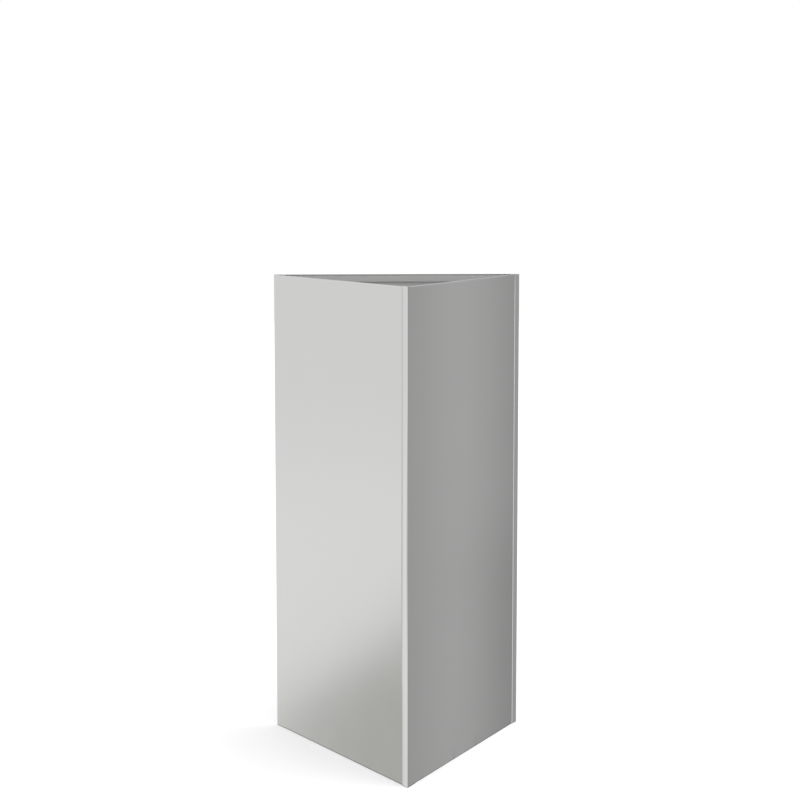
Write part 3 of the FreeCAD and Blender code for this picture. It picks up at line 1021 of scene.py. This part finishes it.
@dataclass
class CornerFasteners:
    """The row of screws, washers and press-in nuts that holds two return flanges together at a corner.

    Each fastener is turned round the X axis, which starts at the seam and runs towards the screw's head.
    """

    corner: Corner
    thread: float = 4 * MM
    pitch: float = 0.7 * MM
    thread_depth: float = 0.42 * MM
    thread_run_out: float = 0.21 * MM
    screw_tail: float = 1 * MM
    tip_chamfer: float = 0.7 * MM
    head: float = 7.6 * MM
    head_height: float = 2.2 * MM
    head_edge: float = 0.18 * MM
    head_round: float = 1.6 * MM
    socket: float = 2.5 * MM
    socket_depth: float = 1.3 * MM
    socket_lead: float = 0.12 * MM
    socket_point: float = 1.25 * MM
    socket_point_depth: float = 0.25 * MM
    washer: float = 9 * MM
    washer_bore: float = 4.5 * MM
    washer_thickness: float = 0.8 * MM
    washer_edge: float = 0.18 * MM
    washer_burr: float = 0.054 * MM
    nut: float = 8 * MM
    nut_height: float = 3.2 * MM
    nut_bore: float = 4.2 * MM
    nut_shank: float = 5.4 * MM
    nut_play: float = 0.1 * MM
    nut_chamfer: float = 0.35 * MM
    shank_chamfer: float = 0.15 * MM
    knurl_width: float = 1.0 * MM
    knurl_run_out: float = 0.1 * MM
    knurl_depth: float = 0.14 * MM
    knurl_teeth: int = 24
    tooth_points: int = 3
    head_steps: int = 8
    screw_steps: int = 36
    ring_steps: int = 48
    thread_samples: int = 6
    sharp: float = 40.0

    def _thread_rings(self, start: float, end: float) -> list[Ring]:
        """Cuts a screw thread with a chamfered tip at its start.

        Args:
            start: where it starts on the axis.
            end: where it ends.

        Returns:
            The thread's rings.
        """
        minor = self.thread / 2 - self.thread_depth
        count = math.ceil((end - start) / self.pitch * self.thread_samples)

        def ridge(along: float) -> RingRadius:
            """The radius by angle at a place on the axis: a ridge that climbs one pitch in each turn."""
            half = self.thread_depth / 2 * min(1.0, (along - start) / self.tip_chamfer)
            return lambda angle: minor + half * (1 - math.cos(math.tau * along / self.pitch - angle))

        places = [start + (end - start) * k / count for k in range(count + 1)]
        return [(along, ridge(along)) for along in places]

    def _screw(self) -> bmesh.types.BMesh:
        """Makes a button-head screw with a hexagon socket.

        Returns:
            The screw's mesh.
        """
        seat = PLAN.sheet + self.washer_thickness
        tip = -PLAN.sheet - self.nut_height - self.screw_tail
        crown = seat + self.head_height
        floor = crown - self.socket_depth
        radius = self.head / 2
        turns = [math.pi / 2 * k / self.head_steps for k in range(self.head_steps + 1)]
        drops = [(self.head_round * (1 - math.sin(t)), self.head_round * (1 - math.cos(t))) for t in turns]
        mouth = self.socket / 2 / math.cos(math.pi / 6) + self.socket_lead
        rings = [
            *self._thread_rings(tip, seat - self.thread_run_out),
            *round_rings((seat, self.thread / 2), (seat, radius - self.head_edge)),
            *round_rings((seat + self.head_edge, radius)),
            *round_rings(*((crown - drop, radius - inset) for drop, inset in drops)),
            *round_rings((crown, mouth)),
            (crown - self.socket_lead, hexagon_at(self.socket)),
            (floor + self.socket_point_depth, hexagon_at(self.socket)),
            *round_rings((floor, self.socket_point / 2)),
        ]
        return turned(rings, self.screw_steps, hollow=False)

    def _washer(self) -> bmesh.types.BMesh:
        """Makes a stamped washer, rounded on the side that the die pushed in.

        Returns:
            The washer's mesh.
        """
        outer, inner = self.washer / 2, self.washer_bore / 2
        low, high = PLAN.sheet, PLAN.sheet + self.washer_thickness
        edge, burr = self.washer_edge, self.washer_burr
        rings = round_rings(
            (low, inner),
            (low, outer - burr),
            (low + burr, outer),
            (high - edge, outer),
            (high - burr, outer - burr),
            (high, outer - edge),
            (high, inner + edge),
            (high - edge, inner),
        )
        return turned(rings, self.ring_steps, hollow=True)

    def _knurled(self, radius: float) -> RingRadius:
        """Cuts teeth into a ring, one every few points.

        Args:
            radius: the ring's radius outside the cuts.

        Returns:
            The ring's radius by angle.
        """
        points = self.tooth_points * self.knurl_teeth

        def toothed(angle: float) -> float:
            """The radius at an angle."""
            cut = round(angle / math.tau * points) % self.tooth_points == 0
            return radius - self.knurl_depth if cut else radius

        return toothed

    def _nut(self) -> bmesh.types.BMesh:
        """Makes a press-in nut: a round body with a knurled grip at the flange, and a shank in its hole.

        Returns:
            The nut's mesh.
        """
        body, bore, shank = self.nut / 2, self.nut_bore / 2, self.nut_shank / 2
        seat, end = -PLAN.sheet, -self.nut_play
        far = seat - self.nut_height
        grip = seat - self.knurl_width
        chamfer, lead = self.nut_chamfer, self.shank_chamfer
        rings = [
            *round_rings((far, bore + chamfer), (far, body - chamfer), (far + chamfer, body)),
            *round_rings((grip - self.knurl_run_out, body)),
            (grip, self._knurled(body)),
            (seat, self._knurled(body)),
            *round_rings((seat, shank), (end - lead, shank), (end, shank - lead)),
            *round_rings((end, bore + lead), (end - lead, bore), (far + chamfer, bore)),
        ]
        return turned(rings, self.tooth_points * self.knurl_teeth, hollow=True)

    def build(self, kind: FastenerKind) -> bpy.types.Object:
        """Makes one row of fasteners.

        Args:
            kind: which of the three kinds.

        Returns:
            The row's object, in place, riding on the shell and standing for its CAD node.
        """
        makers = {
            FastenerKind.SCREW: self._screw,
            FastenerKind.WASHER: self._washer,
            FastenerKind.NUT: self._nut,
        }
        single = makers[kind]()
        pattern = bpy.data.meshes.new("pattern")
        single.to_mesh(pattern)
        single.free()
        row = bmesh.new()
        for height in PLAN.screw_heights():
            copy = pattern.copy()
            copy.transform(PLAN.fastener_frame(self.corner, height))
            row.from_mesh(copy)
            bpy.data.meshes.remove(copy)
        bpy.data.meshes.remove(pattern)
        made = mesh_object(f"{kind.word}_{self.corner.word}", row, self.sharp)
        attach(made, "shell")
        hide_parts(f"corner_{kind.word}_{self.corner.word}")
        return made

    def dress(self, kind: FastenerKind, row: bpy.types.Object) -> None:
        """Gives a row of fasteners its finish."""
        row.data.materials.append(kind.finish.material(self.corner))


# The base tray


@dataclass
class BaseTray:
    """The lift-out tray, which keeps its CAD shape and gets a finish."""

    node: str = "base_tray"
    lift_hole: float = 26 * MM
    drain_hole: float = 10 * MM
    drain_ring: float = 48 * MM
    drain_count: int = 6
    drain_corner_inset: float = 28 * MM

    def holes(self) -> list[tuple[Vector, float]]:
        """Finds the holes in the deck.

        Returns:
            The middle and the radius of each hole.
        """
        corner_reach = PLAN.middle.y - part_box(self.node)[0].y - self.drain_corner_inset
        ring = [heading(90 + 360 * k / self.drain_count) * self.drain_ring for k in range(self.drain_count)]
        corners = [-heading(corner.heading + PLAN.angle / 2) * corner_reach for corner in Corner]
        drains = [(PLAN.middle + offset, self.drain_hole / 2) for offset in ring + corners]
        return [(PLAN.middle, self.lift_hole / 2), *drains]

    def dress(self) -> bpy.types.Object:
        """Gives the tray its finish.

        Returns:
            The tray, which is its CAD node's object.
        """
        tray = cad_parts[self.node]
        tray.data.materials.clear()
        tray.data.materials.append(TRAY_FINISH.material(self.holes()))
        return tray


# The studio


def reflected_prop(name: str, mesh: bmesh.types.BMesh) -> tuple[bpy.types.Object, ShaderGraph]:
    """Makes a studio prop that shows in nothing but the steel's reflections.

    Args:
        name: the prop's name.
        mesh: its mesh, which is freed.

    Returns:
        The prop and its material's graph.
    """
    made = mesh_object(name, mesh)
    for kind in ("camera", "diffuse", "shadow", "transmission", "volume_scatter"):
        setattr(made, f"visible_{kind}", False)
    graph = ShaderGraph(bpy.data.materials.new(name))
    made.data.materials.append(graph.owner)
    return made, graph


@dataclass
class ReflectionCard:
    """An upright card beside the set, of one colour with soft edges, which shows only in reflections.

    Its own X runs to the left, seen from the planter, and its own Y up.
    """

    name: str
    place: Vector
    facing: float
    width: float
    low: float
    high: float
    edge: float
    colour: Colour
    lean: ClassVar[float] = 90.0

    def build(self) -> None:
        """Sets the card in its place and paints it."""
        made, graph = reflected_prop(self.name, self.sheet())
        made.location = self.place
        made.rotation_euler = (math.radians(self.lean), 0.0, math.radians(self.facing + 90))
        across, up, _ = graph.axes(graph.node("ShaderNodeTexCoord", output="Object"))
        clear = graph.node("ShaderNodeBsdfTransparent")
        lit = graph.node("ShaderNodeEmission", {}, {"Color": self.glow(graph, across, up), "Strength": 1.0})
        graph.surface(graph.node("ShaderNodeMixShader", {}, {0: self.cover(across, up), 1: clear, 2: lit}))

    def sheet(self) -> bmesh.types.BMesh:
        """Draws the card.

        Returns:
            The card's mesh: one rectangle.
        """
        mesh = bmesh.new()
        corners = [(-1, self.low), (1, self.low), (1, self.high), (-1, self.high)]
        mesh.faces.new([mesh.verts.new((side * self.width / 2, height, 0.0)) for side, height in corners])
        return mesh

    def cover(self, across: Field, up: Field) -> Field:
        """How solid the card is, by the place on it."""
        sides = abs(across).fall(self.width / 2 - self.edge, self.width / 2)
        return sides * up.rise(self.low, self.low + self.edge) * up.fall(self.high - self.edge, self.high)

    def glow(self, graph: ShaderGraph, across: Field, up: Field) -> Term:
        """How the card glows, by the place on it."""
        return self.colour


@dataclass
class BandedCard(ReflectionCard):
    """A card with upright bands of grey, each given by its place across the card and its brightness.

    Its lower left part is dimmer, between two places across and two heights.
    """

    bands: tuple[Span, ...]
    dim: float
    dim_across: Span
    dim_up: Span

    def glow(self, graph: ShaderGraph, across: Field, up: Field) -> Term:
        """How the card glows: bands across, and the dimmer part.

        Args:
            graph: the card's material.
            across: the place across the card.
            up: the place up the card.

        Returns:
            The colour by the place.
        """
        stops = [(0.5 + place / self.width, shade(self.colour, level)) for place, level in self.bands]
        bands = graph.node("ShaderNodeValToRGB", {"stops": stops}, {"Fac": across / self.width + 0.5})
        dimmed = across.rise(*self.dim_across) * up.fall(*self.dim_up) * self.dim
        return graph.mix(dimmed, bands, grey(0.0))


@dataclass
class SlantedCard(ReflectionCard):
    """A card with a slanting upper edge, which ends at a place across it."""

    edge_height: float
    edge_slope: float
    end: Span

    def cover(self, across: Field, up: Field) -> Field:
        """How solid the card is, by the place on it: below the slanting edge, up to the card's end."""
        over = up - across * self.edge_slope - self.edge_height
        return over.fall(-self.edge, self.edge) * across.rise(*self.end)


@dataclass
class ArchedFlag(ReflectionCard):
    """A band of cloth that hangs over the set from front to back in a half circle."""

    steps: int = 24

    @property
    def radius(self) -> float:
        """The radius of the half circle."""
        return self.high - self.low

    def sheet(self) -> bmesh.types.BMesh:
        """Draws the band.

        Returns:
            The band's mesh: a half circle of rectangles.
        """
        mesh = bmesh.new()
        arc = [heading(180 * k / self.steps) * self.radius for k in range(self.steps + 1)]
        sides = (-self.width / 2, self.width / 2)
        rows = [[mesh.verts.new((side, self.low + spoke.y, spoke.x)) for side in sides] for spoke in arc]
        for (left, right), (next_left, next_right) in zip(rows, rows[1:]):
            mesh.faces.new([left, right, next_right, next_left])
        return mesh

    def cover(self, across: Field, up: Field) -> Field:
        """How solid the band is, by the place on it: soft at its sides and its ends."""
        sides = abs(across).fall(self.width / 2 - self.edge, self.width / 2)
        return sides * up.rise(self.low, self.low + self.edge)


@dataclass
class FloorCloth(ReflectionCard):
    """A grey cloth laid flat on the floor: low and high are how far from its place it starts and ends."""

    lean: ClassVar[float] = 0.0


@dataclass
class GroundPlate:
    """A dark plate just under the floor, which only the fold along the foot is low enough to reflect: a
    painted contact shadow.
    """

    name: str = "ground_plate"
    depth: float = 0.3 * MM
    margin: float = 2 * MM
    colour: Colour = tint(0.16, 0.16, 0.15)

    def build(self) -> None:
        """Lays the plate, the plan with a margin along its sides."""
        mesh = bmesh.new()
        below = PLAN.middle - Vector((0.0, 0.0, self.depth))
        grown = 1 + self.margin / PLAN.inradius
        reaches = [(PLAN.corner_point(corner) - PLAN.middle) * grown for corner in Corner]
        mesh.faces.new([mesh.verts.new(below + reach) for reach in reaches])
        _, graph = reflected_prop(self.name, mesh)
        graph.surface(graph.node("ShaderNodeEmission", {}, {"Color": self.colour, "Strength": 1.0}))


@dataclass
class Studio:
    """A white studio: a pale floor, soft light all round and the camera at the photograph's place."""

    focal_pixels: float = 1935.0
    image_pixels: float = 800.0
    sensor: float = 36.0
    camera_distance: float = 3.001
    camera_azimuth: float = -2.83
    camera_elevation: float = 6.68
    aim_right: float = -0.0032
    aim_height: float = 0.5641
    floor_radius: float = 9.0
    floor_sides: int = 96
    floor_paint: float = 0.7
    floor_roughness: float = 0.9
    floor_glow: float = 0.3
    glow_edge: float = 1 * MM
    wall_light: float = 1.0
    wall_tilt: Span = (-0.19, -0.10)
    ground_light: float = 1.1
    deep_light: float = 0.56
    deep_tilt: Span = (-0.90, -0.48)
    key_light: float = 1.1
    key_angle: float = 60.0
    key_way: tuple[float, float, float] = (-0.6, 0.4, -1.0)

    def camera(self) -> None:
        """Sets up the camera."""
        elevation = math.radians(self.camera_elevation)
        right = heading(self.camera_azimuth)
        back = left_of(right) * -math.cos(elevation) + Vector((0.0, 0.0, math.sin(elevation)))
        aim = right * self.aim_right + Vector((0.0, 0.0, self.aim_height))
        lens = bpy.data.cameras.new("camera")
        lens.sensor_width = self.sensor
        lens.lens = self.sensor * self.focal_pixels / self.image_pixels
        made = bpy.data.objects.new("camera", lens)
        made.location = aim + back * self.camera_distance
        made.rotation_mode = "QUATERNION"
        made.rotation_quaternion = (-back).to_track_quat("-Z", "Y")
        bpy.context.scene.collection.objects.link(made)
        bpy.context.scene.camera = made

    def floor(self) -> None:
        """Lays the pale floor, lit from below round the planter. The steel reflects the cards instead."""
        mesh = bmesh.new()
        bmesh.ops.create_circle(mesh, cap_ends=True, segments=self.floor_sides, radius=self.floor_radius)
        made = mesh_object("studio_floor", mesh)
        made.visible_glossy = False
        graph = ShaderGraph(bpy.data.materials.new("floor_paint"))
        place = graph.vector("SUBTRACT", graph.node("ShaderNodeTexCoord", output="Object"), PLAN.middle)
        ways = [heading(corner.heading - 90) for corner in Corner]
        reach = reduce(Field.most, [graph.vector("DOT_PRODUCT", place, way, "Value") for way in ways])
        outside = (reach - PLAN.inradius).rise(-self.glow_edge, 0.0)
        inputs = {
            "Base Color": grey(self.floor_paint),
            "Roughness": self.floor_roughness,
            "Emission Color": graph.mix(outside, grey(0.0), grey(1.0)),
            "Emission Strength": self.floor_glow,
        }
        graph.surface(graph.node("ShaderNodeBsdfPrincipled", {}, inputs))
        made.data.materials.append(graph.owner)

    def light(self) -> None:
        """Lights the room evenly, brighter from the ground and darker from deep below, with a soft key."""
        graph = ShaderGraph(bpy.data.worlds.new("room"))
        _, _, tilt = graph.axes(graph.node("ShaderNodeTexCoord", output="Generated"))
        level = (
            self.ground_light
            + tilt.rise(*self.wall_tilt) * (self.wall_light - self.ground_light)
            + tilt.fall(*self.deep_tilt) * (self.deep_light - self.ground_light)
        )
        glow = graph.node("ShaderNodeBackground", {}, {"Color": grey(1.0), "Strength": level})
        graph.node("ShaderNodeOutputWorld", {}, {"Surface": glow})
        bpy.context.scene.world = graph.owner
        key = bpy.data.lights.new("key", "SUN")
        key.energy = self.key_light
        key.angle = math.radians(self.key_angle)
        made = bpy.data.objects.new("key", key)
        made.rotation_mode = "QUATERNION"
        made.rotation_quaternion = Vector(self.key_way).to_track_quat("-Z", "Y")
        bpy.context.scene.collection.objects.link(made)
        bpy.context.scene.view_settings.view_transform = "Standard"

    def cards(self) -> None:
        """Sets out what the steel reflects: cards for the front faces, and what shades folds and sides."""
        left, right, beside = 151.0, 34.5, 334.0
        face = Vector((PLAN.side / 4, 0.0, 0.0))
        # The dark card stands in for the planter's own shadow on the floor to its left: a painted shadow that
        # the left face reflects
        SlantedCard(
            "dark_card", place=heading(left) * 3.0 - face, facing=left,
            width=2.4, low=-1.8, high=0.6, edge=0.10, colour=tint(0.60, 0.61, 0.58),
            edge_height=-0.67, edge_slope=0.67, end=(-0.25, -0.15),
        ).build()
        bands = (
            (-0.50, 0.40), (-0.20, 0.40), (-0.12, 0.455), (-0.04, 0.64),
            (0.02, 0.64), (0.08, 0.47), (0.13, 0.38), (0.40, 0.36),
        )
        BandedCard(
            "grey_card", place=heading(right) * 1.5 + face, facing=right,
            width=1.8, low=-1.2, high=1.5, edge=0.25, colour=grey(1.0),
            bands=bands, dim=0.16, dim_across=(0.0, 0.08), dim_up=(-0.05, 0.20),
        ).build()
        ReflectionCard(
            "side_flag", place=heading(beside) * 3.0, facing=beside,
            width=6.4, low=-3.0, high=5.0, edge=0.5, colour=grey(0.42),
        ).build()
        ArchedFlag(
            "top_flag", place=Vector((0.0, PLAN.depth / 2, 0.0)), facing=270.0,
            width=1.8, low=0.85, high=3.85, edge=0.2, colour=grey(0.16),
        ).build()
        ReflectionCard(
            "edge_light", place=Vector((0.58, 0.07, 0.0)), facing=298.0,
            width=0.72, low=-0.35, high=0.74, edge=0.03, colour=grey(1.05),
        ).build()
        for side, towards, start in (("left", 216.0, 0.7), ("front", 285.0, 0.9), ("rear", 84.0, 1.0)):
            FloorCloth(
                f"floor_cloth_{side}", place=Vector((0.0, 0.0, -0.01)), facing=towards - 180.0,
                width=2.6, low=start, high=start + 4.0, edge=1.1, colour=grey(0.55),
            ).build()
        GroundPlate().build()


def main() -> None:
    """Builds the planter and its studio."""
    logging.basicConfig(level=logging.INFO, format="%(name)s: %(message)s")
    studio = Studio()
    studio.camera()
    studio.floor()
    studio.light()
    studio.cards()
    for corner in Corner:
        panel = FoldedPanel(corner)
        made = panel.build()
        panel.dress(made)
        log.info("%s: %d faces", made.name, len(made.data.polygons))
        fasteners = CornerFasteners(corner)
        for kind in FastenerKind:
            row = fasteners.build(kind)
            fasteners.dress(kind, row)
            log.info("%s: %d faces", row.name, len(row.data.polygons))
    tray = BaseTray().dress()
    log.info("%s: %d faces", tray.name, len(tray.data.polygons))


if __name__ == "__main__":
    main()
